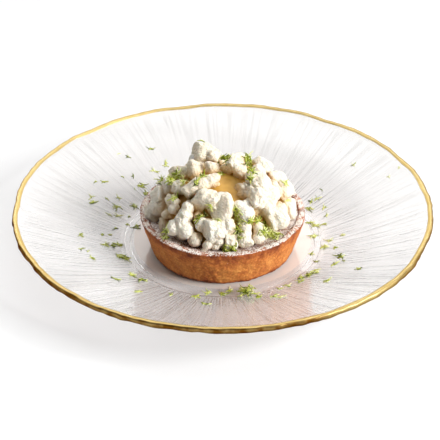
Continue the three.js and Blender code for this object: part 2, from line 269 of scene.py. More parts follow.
# The lumps that face the front: degrees round the mound from +X, degrees up it, width, height, form,
# degrees turned, and distance from the mound's middle as a share. One with a form is turned and sized as
# the camera sees it, and one without as it lies on the mound.
Lump = namedtuple("Lump", "around up width height form turn reach", defaults=("", 0, 1))
FRONT_LUMPS = [Lump(*row) for row in (
    (188, 4, 10, 8, "", 0, 1.08),
    (207, 4, 6, 7, "bulb", 0, 0.98),
    (246, 8, 7.5, 7.5, "bulb"),
    (261, 7, 12, 9, "wedge", 10),
    (276, 9, 8, 9, "block"),
    (290, 15, 8, 13, "stub"),
    (302, 12, 7, 11, "stub"),
    (325, 19, 13, 13, "block", 18),
    (354, 8, 8, 12, "block"),
    (12, 21, 11.5, 13),
    (165, 22, 9, 10),
    (186, 19, 11, 15, "shard", -8),
    (181, 37, 7.5, 8.5, "bulb"),
    (213, 32, 5.5, 8, "stub", -15),
    (230, 24, 13.5, 19, "pear", -14),
    (249, 25, 7, 7),
    (263, 23, 12, 10.5, "block", 5),
    (276, 27, 6, 8, "bulb"),
    (294, 38, 9.5, 12.5, "bulb", 25),
    (22, 30, 12, 13),
    (150, 35, 10, 9),
    (166, 65, 8.5, 10, "bulb"),
    (160, 80, 7.5, 6.5, "bulb"),
    (224, 63, 20.5, 8.5, "roll", 19),
    (120, 61, 16, 12, "peak", 0, 1.13),
    (138, 58, 12, 11),
    (110, 69, 9, 9, "", 0, 1.08),
    (5, 80, 14, 10.5, "cap"),
    (249, 48, 17, 14, "cap", 14, 0.97),
    (271, 45, 11.5, 14.5, "slab", -15),
    (319, 49, 22, 23, "crag", 15),
    (36, 42, 13, 11),
)]

# More lumps fill what is left of the mound, spread over it by the golden angle.
FILL_SEED = 7
FILL_TRIES = 160
FILL_LEAST = 6.5
FILL_MOST = 12
FILL_REACH = 0.95
FILL_CLOSENESS = 0.86
FILL_SIZES = (0.8, 1)
FILL_STRETCH = (0.85, 1.15)
FILL_TURN = (-40, 40)
GOLDEN_ANGLE = 180 * (3 - math.sqrt(5))

# Where the cream is left showing: degrees round the mound, degrees up it, and radius.
CREAM_GAPS = [(286, 68, 9), (258, 36, 4), (307, 25, 3)]

# Zest. Each tuft is laid where the photograph shows it, in its pixels from the left and the top, with
# so many shreds. The ones behind the heap are out of its sight: degrees round the heap, degrees up it,
# and shreds. Pairs are the least and the most of a draw.
ZEST_SHORT = 1.2
ZEST_LONG = 6
ZEST_WIDTH = 0.46
ZEST_WIDTHS = (0.6, 1.1)
ZEST_THICK = 0.35
ZEST_BOW = (-0.3, 0.3)
ZEST_CURL = (0, 0.35)
ZEST_TWIST = (-1.2, 1.2)
ZEST_TAPER = 2.4
ZEST_CUTS = 5
ZEST_RAGGED = 0.9
RAGS_ALONG = 6
RAGS_ASIDE = 3
RAGS_STEP = 50
ZEST_SHADING = 0.25
HEAP_SCATTER = Vector((0.45, 0.45, 0.45))
PLATE_SCATTER = Vector((0.5, 0.5, 0))
TUFT_SEED = 500
BEHIND_SEED = 900
TUFT_SHADE = (-0.2, 0.2)
TUFT_FILL = 1.8
TUFT_DEPTH = 2.5
TUFT_FLUFF = 0.025
TUFTS_ON_HEAP = [
    (177, 176, 34), (170, 181, 16), (183, 181, 12), (174, 198, 12), (196, 183, 8), (203, 177, 8),
    (225, 159, 18), (247, 157, 14), (249, 163, 30), (252, 171, 16), (251, 178, 6), (221, 174, 6),
    (235, 209, 12), (238, 215, 14), (240, 222, 12), (239, 230, 18), (240, 238, 6), (264, 231, 24),
    (270, 233, 30), (277, 237, 14), (250, 221, 10), (257, 220, 10), (265, 224, 10), (226, 249, 10),
    (233, 248, 12), (199, 218, 8), (205, 216, 6), (219, 219, 4), (166, 231, 12), (165, 238, 6),
    (165, 164, 5), (161, 181, 8), (286, 182, 5), (288, 200, 4), (211, 207, 6),
]
TUFTS_ON_PLATE = [
    (119, 154, 1), (128, 157, 2), (133, 176, 2), (123, 177, 1), (95, 182, 2), (104, 182, 2),
    (142, 186, 9), (146, 194, 7), (135, 189, 1), (92, 203, 5), (91, 197, 2), (107, 199, 2),
    (118, 198, 3), (135, 207, 9), (116, 208, 7), (109, 215, 2), (119, 216, 3), (129, 217, 2),
    (128, 225, 3), (137, 227, 7), (115, 229, 2), (81, 235, 5), (102, 235, 4), (110, 235, 3),
    (105, 245, 6), (113, 246, 6), (118, 245, 8), (81, 249, 2), (89, 251, 2), (91, 258, 3),
    (120, 257, 8), (126, 259, 10), (131, 275, 7), (141, 280, 5), (116, 280, 2), (139, 292, 2),
    (145, 281, 3), (171, 295, 2), (196, 297, 5), (208, 293, 5), (205, 304, 3), (222, 294, 7),
    (229, 291, 4), (247, 293, 50), (259, 297, 5), (273, 297, 3), (281, 297, 3), (280, 289, 3),
    (288, 286, 3), (301, 278, 5), (309, 275, 4), (315, 273, 4), (322, 190, 1), (311, 202, 4),
    (317, 199, 4), (309, 209, 6), (325, 208, 3), (327, 215, 2), (310, 223, 6), (315, 226, 6),
    (324, 224, 2), (314, 237, 8), (343, 235, 3), (329, 241, 3), (325, 247, 6), (335, 248, 3),
    (340, 257, 8), (344, 261, 2), (335, 264, 3), (311, 254, 3), (316, 262, 3), (359, 269, 3),
    (316, 272, 5), (308, 276, 4), (300, 281, 3), (328, 281, 5), (151, 149, 4), (154, 171, 3),
    (202, 141, 2), (353, 165, 2), (389, 177, 2), (399, 168, 2),
]
TUFTS_BEHIND = [(90, 40, 14), (120, 25, 10), (55, 22, 10)]

# The photograph's camera: it looks along +Y and down.
CAMERA_RISE = math.radians(33)
CAMERA_DISTANCE = 650
CAMERA_AIM = Vector((-1.3, 6.2, 10))
CAMERA_LENS = 103.3
CAMERA_SENSOR = 36
PICTURE_PIXELS = 440
CAMERA_RIGHT = Vector((1, 0, 0))
CAMERA_AWAY = Vector((0, math.cos(CAMERA_RISE), -math.sin(CAMERA_RISE)))
CAMERA_UP = Vector((0, math.sin(CAMERA_RISE), math.cos(CAMERA_RISE)))
CAMERA_PLACE = CAMERA_AIM - CAMERA_AWAY * CAMERA_DISTANCE

# The studio, in metres.
FLOOR_HALF = 3
FLOOR_DROP = 0.0003
KEY_PLACE = Vector((1.87, -0.91, 1.2))
KEY_AIM = Vector((0, 0, 0.02))
KEY_SIZE = 1
KEY_POWER = 76

# The sky: its strength where it is dark, and its soft lights, as the way they lie, the cosines of the
# angles at which they begin and are full, and their strength. The glass mirrors the second in its well
# and the third in the left of its flange.
SKY_DARK = 0.07
SKY_LIGHTS = [
    ((0.03, 0.6, 0.799), 0.55, 0.8, 1.16),
    ((0, 0.84, 0.545), 0.94, 0.99, 1.4),
    ((0.38, 0.84, 0.39), 0.86, 0.97, 0.42),
]


# Numbers that repeat on every run

def seeded(seed):
    """An endless row of numbers from 0 to 1, the same as the one that laid out the solids."""
    multiplier = 16807
    modulus = 2147483647
    stride = 7919
    start = 104729
    state = (seed * stride + start) % modulus
    while True:
        state = state * multiplier % modulus
        yield state / modulus


def between(draws, low, high):
    return low + (high - low) * next(draws)


def random_direction(draws):
    rise = between(draws, -1, 1)
    turn = between(draws, 0, 2 * math.pi)
    flat = math.sqrt(1 - rise * rise)
    return Vector((flat * math.cos(turn), flat * math.sin(turn), rise))


def clamp(value):
    return max(0.0, min(1.0, value))


def ease(value, start, end):
    """0 before start, 1 after end, and smooth between them."""
    share = clamp((value - start) / (end - start))
    return share * share * (3 - 2 * share)


# Materials

def linear(colour):
    """An sRGB hex colour as linear RGBA."""
    channels = [int(colour[i:i + 2], 16) / 255 for i in (1, 3, 5)]
    return [c / 12.92 if c <= 0.04045 else ((c + 0.055) / 1.055) ** 2.4 for c in channels] + [1]


def per_mm(size):
    """The scale of a pattern whose features are so many millimetres apart."""
    return 1 / (size * MM)


def set_inputs(tree, node, inputs):
    """Gives each input a value, or links it to a socket or to another node's first output."""
    for name, value in inputs.items():
        if isinstance(value, bpy.types.Node):
            value = value.outputs[0]
        if isinstance(value, bpy.types.NodeSocket):
            tree.links.new(value, node.inputs[name])
        else:
            node.inputs[name].default_value = value


def add_node(tree, kind, inputs=None, ramp=None, **settings):
    """Adds a shader node. A ramp is the positions and colours of its stops."""
    node = tree.nodes.new("ShaderNode" + kind)
    for name, value in settings.items():
        setattr(node, name, value)
    if ramp:
        stops = node.color_ramp.elements
        stops.remove(stops[1])
        stops[0].position = ramp[0][0]
        stops[0].color = linear(ramp[0][1])
        for position, colour in ramp[1:]:
            stops.new(position).color = linear(colour)
    set_inputs(tree, node, inputs or {})
    return node


def new_material(name, inputs):
    """A material with a Principled shader, its node tree and that shader."""
    material = bpy.data.materials.new(name)
    material.use_nodes = True
    tree = material.node_tree
    shader = tree.nodes["Principled BSDF"]
    set_inputs(tree, shader, inputs)
    return material, tree, shader


# The sockets of a Mix node that blends colours.
MIX_SHARE, MIX_A, MIX_B, MIX_RESULT = 0, 6, 7, 2


def pressed_glass(name, clearness, haze):
    """Pressed soda-lime glass, finely dented: clear but for a pale haze, with painted shade greying it along
    its ribs.

    It has no green in it, and lets most light through to the table, evenly.
    """
    glass = {"Roughness": 0.09, "IOR": 1.5, "Transmission Weight": clearness}
    material, tree, shader = new_material(name, glass)
    where = add_node(tree, "TexCoord").outputs["Object"]
    dents = add_node(tree, "TexNoise", {"Vector": where, "Scale": per_mm(1.5), "Detail": 2})
    bump = add_node(tree, "Bump", {"Height": dents, "Strength": 0.14, "Distance": 0.3 * MM})
    # Painted shade: the glass is greyed along the grooves of its ribs.
    groove = add_node(tree, "Attribute", attribute_name="groove").outputs["Fac"]
    tone = add_node(tree, "ValToRGB", {"Fac": groove}, ramp=[(0, haze), (1, "#D2D0CE")])
    set_inputs(tree, shader, {"Base Color": tone, "Normal": bump})
    shade = add_node(tree, "BsdfTransparent", {"Color": linear("#EFEEEE")})
    path = add_node(tree, "LightPath")
    mixed = shader
    for ray in ("Is Diffuse Ray", "Is Shadow Ray"):
        mixed = add_node(tree, "MixShader", {0: path.outputs[ray], 1: mixed, 2: shade})
    set_inputs(tree, tree.nodes["Material Output"], {"Surface": mixed})
    return material


def fired_gold():
    """Bright gold fired on dented glass: a satin metal, browned in patches where it faces outward, as a
    painted dark reflection.
    """
    material, tree, shader = new_material("fired_gold", {
        "Metallic": 1,
        "Roughness": 0.4,
        "Specular Tint": linear("#8A5A1C"),
    })
    where = add_node(tree, "TexCoord").outputs["Object"]
    blotches = add_node(tree, "TexNoise", {"Vector": where, "Scale": per_mm(5), "Detail": 3})
    bright = add_node(tree, "ValToRGB", {"Fac": blotches}, ramp=[(0.3, "#D2B878"), (0.7, "#E0CA8E")])
    # Painted dark reflection: the outward faces turn dark brown in patches.
    edge = add_node(tree, "Attribute", attribute_name="edge").outputs["Fac"]
    patchy = add_node(tree, "MapRange", {"Value": blotches, "From Min": 0.35, "From Max": 0.6, "To Min": 0.6})
    darkening = add_node(tree, "Math", {0: edge, 1: patchy}, operation="MULTIPLY")
    tone = add_node(tree, "Mix", {MIX_SHARE: darkening, MIX_A: bright, MIX_B: linear("#6E4712")},
                    data_type="RGBA")
    dents = add_node(tree, "TexNoise", {"Vector": where, "Scale": per_mm(1.6), "Detail": 2})
    bump = add_node(tree, "Bump", {"Height": dents, "Strength": 0.5, "Distance": 0.3 * MM})
    set_inputs(tree, shader, {"Base Color": tone.outputs[MIX_RESULT], "Normal": bump})
    return material


def dusting(tree, where, least_up, patch, cover):
    """How much icing sugar lies on a surface: what faces up is covered, in patches of fine grains."""
    normal = add_node(tree, "NewGeometry").outputs["Normal"]
    facing = add_node(tree, "SeparateXYZ", {"Vector": normal}).outputs["Z"]
    upward = add_node(tree, "MapRange", {"Value": facing, "From Min": least_up, "From Max": 1})
    patches = add_node(tree, "TexNoise", {"Vector": where, "Scale": per_mm(patch), "Detail": 3})
    grains = add_node(tree, "TexNoise", {"Vector": where, "Scale": per_mm(GRAIN_SIZE), "Detail": 2})
    thick = add_node(tree, "Math", {0: patches, 1: PATCH_WEIGHT}, operation="MULTIPLY")
    fall = add_node(tree, "Math", {0: grains, 1: GRAIN_WEIGHT, 2: thick}, operation="MULTIPLY_ADD")
    kept = add_node(tree, "Math", {0: fall, 1: upward}, operation="ADD")
    return add_node(tree, "MapRange", {
        "Value": kept,
        "From Min": SUGAR_LEAST - cover,
        "From Max": SUGAR_FULL - cover,
    })


def baked_shortcrust():
    """Baked shortcrust: sandy and matt, browned most at the rim and darkened at the foot as painted shade,
    with sugar caught on top.
    """
    material, tree, shader = new_material("baked_shortcrust", {"Roughness": 0.85})
    where = add_node(tree, "TexCoord").outputs["Object"]
    height = add_node(tree, "SeparateXYZ", {"Vector": where}).outputs["Z"]
    bake = add_node(tree, "MapRange", {
        "Value": height,
        "From Min": (TART_BASE + BAKE_FROM * TART_HEIGHT) * MM,
        "From Max": TART_RIM * MM,
        "To Max": 0.4,
    })
    # Painted shade darkens the case towards its foot, where it meets the plate.
    foot = add_node(tree, "MapRange", {
        "Value": height,
        "From Min": TART_BASE * MM,
        "From Max": (TART_BASE + SHADED_FOOT) * MM,
        "To Min": 0.6,
        "To Max": 0,
    })
    ends = add_node(tree, "Math", {0: bake, 1: foot}, operation="ADD")
    clouds = add_node(tree, "TexNoise", {"Vector": where, "Scale": per_mm(5), "Detail": 4})
    darkening = add_node(tree, "Math", {0: clouds, 1: 1.1, 2: ends}, operation="MULTIPLY_ADD")
    tone = add_node(tree, "ValToRGB", {"Fac": darkening}, ramp=[
        (0.36, "#F0A85A"),
        (0.62, "#E18F46"),
        (0.94, "#AE5C28"),
        (1, "#8A481C"),
    ])
    sand = add_node(tree, "TexNoise", {"Vector": where, "Scale": per_mm(1.1), "Detail": 3})
    grain = add_node(tree, "ValToRGB", {"Fac": sand},
                     ramp=[(0.3, "#BC9266"), (0.52, "#DCC0A0"), (0.68, "#FFFDF0")])
    sandy = add_node(tree, "Mix", {MIX_SHARE: 0.7, MIX_A: tone, MIX_B: grain},
                     data_type="RGBA", blend_type="MULTIPLY")
    dusted = add_node(tree, "Mix", {
        MIX_SHARE: dusting(tree, where, least_up=0.1, patch=4, cover=0.1),
        MIX_A: sandy.outputs[MIX_RESULT],
        MIX_B: linear("#F0E8DE"),
    }, data_type="RGBA")
    bump = add_node(tree, "Bump", {"Height": sand, "Strength": 0.6, "Distance": 0.5 * MM})
    set_inputs(tree, shader, {"Base Color": dusted.outputs[MIX_RESULT], "Normal": bump})
    return material


def browned_filling():
    """Almond filling browned in the oven: dark, dry and pitted, under patches of icing sugar."""
    material, tree, shader = new_material("browned_filling", {"Roughness": 0.8})
    where = add_node(tree, "TexCoord").outputs["Object"]
    clouds = add_node(tree, "TexNoise", {"Vector": where, "Scale": per_mm(3), "Detail": 4})
    tone = add_node(tree, "ValToRGB", {"Fac": clouds}, ramp=[(0.3, "#6E4630"), (0.7, "#9C6C46")])
    dusted = add_node(tree, "Mix", {
        MIX_SHARE: dusting(tree, where, least_up=0, patch=5, cover=0),
        MIX_A: tone,
        MIX_B: linear("#EFE6E2"),
    }, data_type="RGBA")
    bump = add_node(tree, "Bump", {"Height": clouds, "Strength": 0.5, "Distance": 0.8 * MM})
    set_inputs(tree, shader, {"Base Color": dusted.outputs[MIX_RESULT], "Normal": bump})
    return material


def pastry_cream():
    """Cooked pastry cream: smooth and satin, a warm yellow that light sinks into."""
    material, tree, shader = new_material("pastry_cream", {
        "Roughness": 0.42,
        "Subsurface Weight": 0.3,
        "Subsurface Radius": (3 * MM, 1.8 * MM, 0.8 * MM),
        "Subsurface Scale": 1,
    })
    where = add_node(tree, "TexCoord").outputs["Object"]
    clouds = add_node(tree, "TexNoise", {"Vector": where, "Scale": per_mm(8), "Detail": 2})
    # Its yellow is darkened as painted shade, for the shaded gaps between the lumps where it shows.
    tone = add_node(tree, "ValToRGB", {"Fac": clouds}, ramp=[(0.3, "#B48632"), (0.7, "#D8AC50")])
    set_inputs(tree, shader, {"Base Color": tone})
    return material


def dried_meringue():
    """Dried meringue: chalky white, faintly clouded, finely pitted, with painted warm shade where it lies
    deep in the heap.
    """
    material, tree, shader = new_material("dried_meringue", {
        "Roughness": 0.7,
        "Subsurface Weight": 0.3,
        "Subsurface Radius": (2 * MM, 1.6 * MM, 1.1 * MM),
        "Subsurface Scale": 1,
    })
    where = add_node(tree, "TexCoord").outputs["Object"]
    shade = add_node(tree, "Attribute", attribute_name="tone").outputs["Fac"]
    tone = add_node(tree, "ValToRGB", {"Fac": shade},
                    ramp=[(0, "#F6EAD4"), (0.5, "#F9F0DE"), (1, "#FBF5E7")])
    clouds = add_node(tree, "TexNoise", {"Vector": where, "Scale": per_mm(4), "Detail": 4})
    toast = add_node(tree, "MapRange", {"Value": clouds, "From Min": 0.42, "From Max": 0.7, "To Max": 0.22})
    # Painted shade: the deep parts of the lumps, between them and near the cream, turn warm; random toasting
    # clouds the rest.
    deep_shade_share = add_node(tree, "Attribute", attribute_name="deep_shade").outputs["Fac"]
    shaded_and_toasted = add_node(tree, "Mix", {
        MIX_SHARE: add_node(tree, "Math", {0: deep_shade_share, 1: toast}, operation="MAXIMUM"),
        MIX_A: tone,
        MIX_B: linear("#E6C48C"),
    }, data_type="RGBA")
    pits = add_node(tree, "TexNoise", {"Vector": where, "Scale": per_mm(1.1), "Detail": 5})
    bump = add_node(tree, "Bump", {"Height": pits, "Strength": 1, "Distance": 1.2 * MM})
    set_inputs(tree, shader, {"Base Color": shaded_and_toasted.outputs[MIX_RESULT], "Normal": bump})
    return material


def lime_zest():
    """Fresh lime zest: oily green skin, paler where the grater reached the pith."""
    material, tree, shader = new_material("lime_zest", {"Roughness": 0.5, "Specular IOR Level": 0.25})
    shade = add_node(tree, "Attribute", attribute_name="tone").outputs["Fac"]
    tone = add_node(tree, "ValToRGB", {"Fac": shade},
                    ramp=[(0, "#566200"), (0.25, "#909E1C"), (0.6, "#CED65E"), (1, "#F4F6BA")])
    set_inputs(tree, shader, {"Base Color": tone})
    return material


def pale_paper():
    """Matt white paper under the plate, with the faintest mottle."""
    material, tree, shader = new_material("pale_paper", {"Roughness": 0.9, "Specular IOR Level": 0.1})
    where = add_node(tree, "TexCoord").outputs["Object"]
    mottle = add_node(tree, "TexNoise", {"Vector": where, "Scale": per_mm(60), "Detail": 2})
    tone = add_node(tree, "ValToRGB", {"Fac": mottle}, ramp=[(0.3, "#F3F3F3"), (0.7, "#F6F6F6")])
    set_inputs(tree, shader, {"Base Color": tone})
    return material


# Making pieces

def turned(profile, steps):
    """A profile of (radius, height) pairs turned about Z: a grid rolled up, its seam and poles closed."""
    bm = bmesh.new()
    rows = len(profile) - 1
    bmesh.ops.create_grid(bm, x_segments=steps, y_segments=rows, size=0.5)
    for vert in bm.verts:
        angle = 2 * math.pi * vert.co.x
        radius, height = profile[round((vert.co.y + 0.5) * rows)]
        vert.co = (radius * math.cos(angle), radius * math.sin(angle), height)
    bmesh.ops.remove_doubles(bm, verts=bm.verts, dist=MERGE_GAP)
    bmesh.ops.recalc_face_normals(bm, faces=bm.faces)
    return bm


def spread(start, end, count):
    """So many evenly spaced values from start to end, both included."""
    return [start + (end - start) * i / (count - 1) for i in range(count)]


def rounded(corners, radius, steps=4):
    """A profile with its inner corners turned into small curves."""
    points = [corners[0]]
    for before, corner, after in zip(corners, corners[1:], corners[2:]):
        middle = Vector(corner)
        reach = [(Vector(end) - middle) for end in (before, after)]
        start, end = [middle + way.normalized() * min(radius, way.length / 2) for way in reach]
        for t in spread(0, 1, steps):
            curve = start * (1 - t) ** 2 + middle * 2 * t * (1 - t) + end * t ** 2
            points.append(tuple(curve))
    points.append(corners[-1])
    return points


def angle_of(vert):
    """A vertex's angle about Z."""
    return math.atan2(vert.co.y, vert.co.x)


def widen(vert, share):
    """Moves a vertex straight out from Z, or in, to a share of its radius."""
    vert.co.x *= share
    vert.co.y *= share


def finished(name, bm, material):
    """Turns a bmesh in millimetres into a smooth piece in metres that rides with the part."""
    bmesh.ops.scale(bm, vec=(MM, MM, MM), verts=bm.verts)
    mesh = bpy.data.meshes.new(name)
    for face in bm.faces:
        face.smooth = True
    bm.to_mesh(mesh)
    bm.free()
    mesh.materials.append(material)
    piece = bpy.data.objects.new(name, mesh)
    bpy.context.scene.collection.objects.link(piece)
    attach(piece, "root")
    return piece


# The plate

def flange_top(radius):
    """Height of the flange's upper face."""
    share = clamp((radius - WELL_RADIUS) / (PLATE_RADIUS - WELL_RADIUS))
    return WELL_TOP + (PLATE_HEIGHT - WELL_TOP) * share ** FLANGE_SWEEP


def waves(angle, rows):
    """Uneven waves round a rim, from -1 to 1: each row is how many there are and where they start."""
    return sum(math.sin(count * angle + start) for count, start in rows) / len(rows)


def round_noise(angle, cells, along):
    """Noise that closes on itself round the plate, with so many cells to a radian."""
    return noise.noise(Vector((cells * math.cos(angle), cells * math.sin(angle), along)))


def rib(angle, radius):
    """Depth of the ribs cut into the underside, from 0 to 1: sharp, uneven and of uneven length."""
    along = radius / RIB_RUN
    fine = 1 - RIB_SHARP * abs(round_noise(angle, RIB_CELLS, along))
    strength = RIB_MEAN + RIB_VARIES * round_noise(angle, RIB_GROUP_CELLS, along + RIB_GROUP_NOISE)
    return clamp(fine) * clamp(strength)


def shape_plate(bm):
    """Cuts the ribs and makes the rim wavy and scalloped. Each vertex keeps how deep its groove is, which
    also sets the glass's painted shade there.
    """
    groove = bm.verts.layers.float.new("groove")
    for vert in bm.verts:
        radius = vert.co.xy.length
        share = (radius - WELL_RADIUS) / (PLATE_RADIUS - WELL_RADIUS)
        if share <= 0:
            continue
        angle = angle_of(vert)
        wave = waves(angle, RIM_WAVES) * share ** RIM_WAVE_SWEEP
        if vert.co.z < flange_top(radius) - FLANGE_GLASS / 2:
            vert[groove] = rib(angle, radius) * ease(share, *RIBS_BEGIN) * ease(share, *RIBS_END)
            vert.co.z += RIB_DEPTH * vert[groove] * (1 + RIB_EXTRA * ease(share, *RIBS_DEEPEN))
        near_edge = ease(share, *SCALLOPS_BEGIN)
        layer = SCALLOP_NOISE + vert.co.z / SCALLOP_HEIGHT
        scallop = round_noise(angle, SCALLOP_CELLS, layer) * near_edge
        widen(vert, 1 + (RIM_WAVE * wave + SCALLOP_DEPTH * scallop) / radius)
        below = ease(flange_top(radius) - vert.co.z, FLANGE_GLASS / 3, FLANGE_GLASS)
        drop = EDGE_DROP * below * near_edge * round_noise(angle, EDGE_CELLS, EDGE_NOISE)
        vert.co.z += RIM_LIFT * wave - drop


def plate_profile():
    """The glass's outline, from the middle of its underside out to the rim and back over the top."""
    inner = WELL_RADIUS + FLANGE_GLASS / 2
    under_radii = spread(inner + ROW_GAP, FLANGE_EDGE - ROW_GAP, UNDER_ROWS)
    well_radii = [WELL_RADIUS - 2 * ROW_GAP] + spread(FROST_RADIUS, 0, WELL_ROWS)
    foot = rounded([
        (FLOOR_RADIUS, FOOT_DEPTH),
        (FOOT_INNER_RADIUS - FOOT_DEPTH / 2, FOOT_DEPTH),
        (FOOT_INNER_RADIUS, 0),
        (FOOT_OUTER_RADIUS, 0),
        (FOOT_OUTER_RADIUS + FOOT_DEPTH / 2, FOOT_DEPTH),
        (inner, flange_top(inner) - FLANGE_GLASS),
    ], FOOT_ROUND)
    rim = rounded([
        (FLANGE_EDGE, flange_top(FLANGE_EDGE) - FLANGE_GLASS),
        (PLATE_RADIUS, EDGE_BOTTOM),
        (PLATE_RADIUS, EDGE_TOP),
        (FLANGE_EDGE, flange_top(FLANGE_EDGE)),
    ], EDGE_ROUND)
    floor = [(radius, FOOT_DEPTH) for radius in spread(0, FLOOR_RADIUS - 2 * ROW_GAP, WELL_ROWS)]
    under = [(radius, flange_top(radius) - FLANGE_GLASS) for radius in under_radii]
    over = [(radius, flange_top(radius)) for radius in spread(FLANGE_EDGE - ROW_GAP, WELL_RADIUS, OVER_ROWS)]
    well = [(radius, WELL_TOP) for radius in well_radii]
    return floor + foot + under + rim + over + well


def gilt_profile():
    """A skin over the rim: along the top of the flange, over the edge and down it."""
    top = [(radius, flange_top(radius)) for radius in spread(GILT_START, FLANGE_EDGE, GILT_ROWS)]
    way = rounded(top + [(PLATE_RADIUS, EDGE_TOP), (PLATE_RADIUS, EDGE_BOTTOM)], EDGE_ROUND)
    sides = []
    for here, there in zip(way, way[1:] + [way[-1]]):
        run = Vector(there) - Vector(here)
        if run.length == 0:
            run = Vector(here) - Vector(way[-2])
        sides.append(Vector((-run.y, run.x)).normalized())
    outer = [(r + n.x * GILT_THICK, z + n.y * GILT_THICK) for (r, z), n in zip(way, sides)]
    inner = [(r - n.x * GILT_THICK, z - n.y * GILT_THICK) for (r, z), n in zip(way, sides)]
    return outer + inner[::-1] + outer[:1]


def make_gilding():
    bm = turned(gilt_profile(), GILT_STEPS)
    for vert in bm.verts:
        radius = vert.co.xy.length
        inside = ease(radius, GILT_START + GILT_WANDER_RUN, GILT_START)
        wander = GILT_WANDER * inside * round_noise(angle_of(vert), GILT_CELLS, GILT_NOISE)
        widen(vert, 1 + wander / radius)
    shape_plate(bm)
    bm.normal_update()
    # Painted dark reflection: how much each outward-facing vertex of the gilt is darkened.
    edge = bm.verts.layers.float.new("edge")
    for vert in bm.verts:
        outward = vert.normal.dot(Vector((vert.co.x, vert.co.y, 0)).normalized())
        blotches = clamp(EDGE_SHADE_MEAN + EDGE_SHADE_VARIES * round_noise(angle_of(vert), EDGE_SHADE_CELLS, EDGE_SHADE_NOISE))
        vert[edge] = blotches * ease(outward, *EDGE_SHADE_FACING)
    finished("rim_gilding", bm, fired_gold())


def make_plate():
    bm = turned(plate_profile(), PLATE_STEPS)
    shape_plate(bm)
    tree = BVHTree.FromBMesh(bm)
    clear = pressed_glass("pressed_glass", clearness=0.87, haze="#F8F7F6")
    plate = finished("glass_plate", bm, clear)
    # The frosted well's warm haze is a painted reflection of the crust's orange light.
    plate.data.materials.append(pressed_glass("frosted_glass", clearness=0.5, haze="#F6EDE4"))
    for face in plate.data.polygons:
        inside = face.center.xy.length < FROST_RADIUS * MM
        if inside and face.center.z > WELL_TOP / 2 * MM:
            face.material_index = 1
    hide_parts("plate")
    make_gilding()
    return tree


# The case and its filling

def wall_radius(height):
    """Radius of the case's outer wall at a height above its base."""
    return TART_BASE_RADIUS + (TART_RIM_RADIUS - TART_BASE_RADIUS) * height / TART_HEIGHT


def roughen(bm, amounts):
    """Moves a surface in and out by noise: each amount is a depth and the spacing of its bumps."""
    bm.normal_update()
    moves = []
    for vert in bm.verts:
        depth = sum(reach * noise.noise(vert.co / size + Vector((size, 0, 0))) for reach, size in amounts)
        moves.append(vert.normal * depth)
    for vert, move in zip(bm.verts, moves):
        vert.co += move


def stand_on_plate(bm):
    """Gives the case's small unevenness, and puts it in its place on the plate."""
    for vert in bm.verts:
        wave = waves(angle_of(vert), CRUST_WAVES)
        widen(vert, 1 + CRUST_WAVE * wave * (vert.co.z / TART_HEIGHT) / TART_RIM_RADIUS)
    bmesh.ops.translate(bm, vec=(0, -TART_FORWARD, TART_BASE), verts=bm.verts)


def baked(profile, bumps):
    """A bmesh of a baked part of the tart, and a tree of its surface."""
    bm = turned(profile, TART_STEPS)
    roughen(bm, bumps)
    stand_on_plate(bm)
    return bm, BVHTree.FromBMesh(bm)


def make_crust():
    shoulder = TART_HEIGHT - CRUST_ROUND
    outer = [(wall_radius(z), z) for z in spread(CRUST_ROUND, shoulder, WALL_ROWS)]
    inner = [(wall_radius(z) - CRUST_WALL, z) for z in spread(shoulder, CRUST_FLOOR, INSIDE_ROWS)]
    rim = rounded([
        (wall_radius(shoulder), shoulder),
        (TART_RIM_RADIUS, TART_HEIGHT),
        (TART_RIM_RADIUS - CRUST_WALL, TART_HEIGHT),
        (wall_radius(shoulder) - CRUST_WALL, shoulder),
    ], CRUST_ROUND, RIM_CURVE_ROWS)
    foot = rounded([
        (TART_BASE_RADIUS - CRUST_FOOT_FLAT, 0),
        (TART_BASE_RADIUS, 0),
        (wall_radius(CRUST_ROUND), CRUST_ROUND),
    ], CRUST_ROUND, FOOT_CURVE_ROWS)
    profile = [(0, 0)] + foot[:-1] + outer + rim[1:-1] + inner + [(0, CRUST_FLOOR)]
    bm, tree = baked(profile, CRUST_BUMPS)
    crust = finished("shortcrust_case", bm, baked_shortcrust())
    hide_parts("crust")
    return tree


def make_filling():
    top = FILLING_TOP - TART_BASE
    low = top - FILLING_DIP
    bottom = CRUST_FLOOR + FILLING_GAP
    edge = wall_radius(top) - CRUST_WALL + FILLING_TUCK
    underside = [(0, bottom), (wall_radius(bottom) - CRUST_WALL - FILLING_GAP, bottom)]
    lip = [(edge, top + FILLING_DIP), (edge - FILLING_LIP, top + FILLING_DIP)]
    surface = [(radius, low) for radius in spread(edge - FILLING_SLOPE, FILLING_FLAT, FILLING_ROWS)]
    bm, tree = baked(underside + lip + surface + [(0, low)], FILLING_BUMPS)
    filling = finished("almond_filling", bm, browned_filling())
    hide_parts("filling")
    return tree


# The heap

def mound_direction(around, up):
    """The direction out of the mound's middle, in shares of its three half sizes."""
    angle = math.radians(around)
    flat = math.cos(math.radians(up))
    return Vector((flat * math.cos(angle), flat * math.sin(angle), math.sin(math.radians(up))))


def scaled(a, b):
    return Vector((a.x * b.x, a.y * b.y, a.z * b.z))


def mound_place(around, up, reach=1):
    """A place on the mound, or at a share of its size, from its middle."""
    return scaled(mound_direction(around, up) * reach, MOUND_SIZE)


def golden_place(i, count):
    """Degrees round the mound and up it of one of so many places spread evenly over it."""
    return i * GOLDEN_ANGLE % 360, math.degrees(math.asin((i + 0.5) / count))


def mean_size(lump):
    return (lump.width + lump.height) / 2


